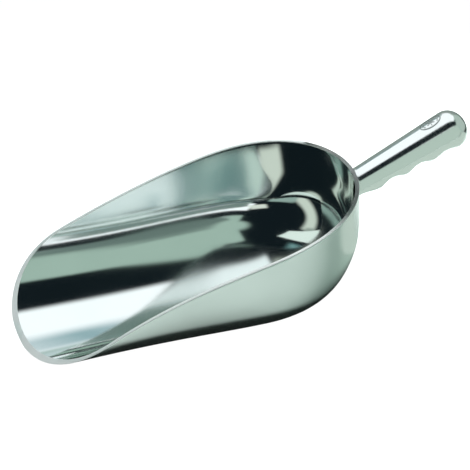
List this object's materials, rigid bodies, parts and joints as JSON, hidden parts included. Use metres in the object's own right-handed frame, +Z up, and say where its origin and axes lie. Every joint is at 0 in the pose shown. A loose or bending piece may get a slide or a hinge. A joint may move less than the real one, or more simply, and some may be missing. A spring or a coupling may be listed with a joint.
{
  "type": "ice scoop",
  "caption": "Aluminium ice scoop: a deep round-backed bowl cut down to a curved lip, with a tapered finger-grip handle welded to its back.",
  "frame": {"origin": "on the surface the scoop stands on, under the middle of its overall box", "axes": "+X from the lip towards the handle, +Y across the bowl, +Z up"},
  "size_m": [0.3474, 0.16, 0.1189],
  "materials": {
    "bowl_metal": "satin outside, mirror polished inside",
    "handle_metal": "polished",
    "weld_metal": "dressed and buffed",
    "badge_metal": "satin with a raised rim"
  },
  "bodies": {
    "root": {"bowl": "bowl_metal", "handle": "handle_metal", "neck_weld": "weld_metal", "badge": "badge_metal"}
  },
  "joints": []
}
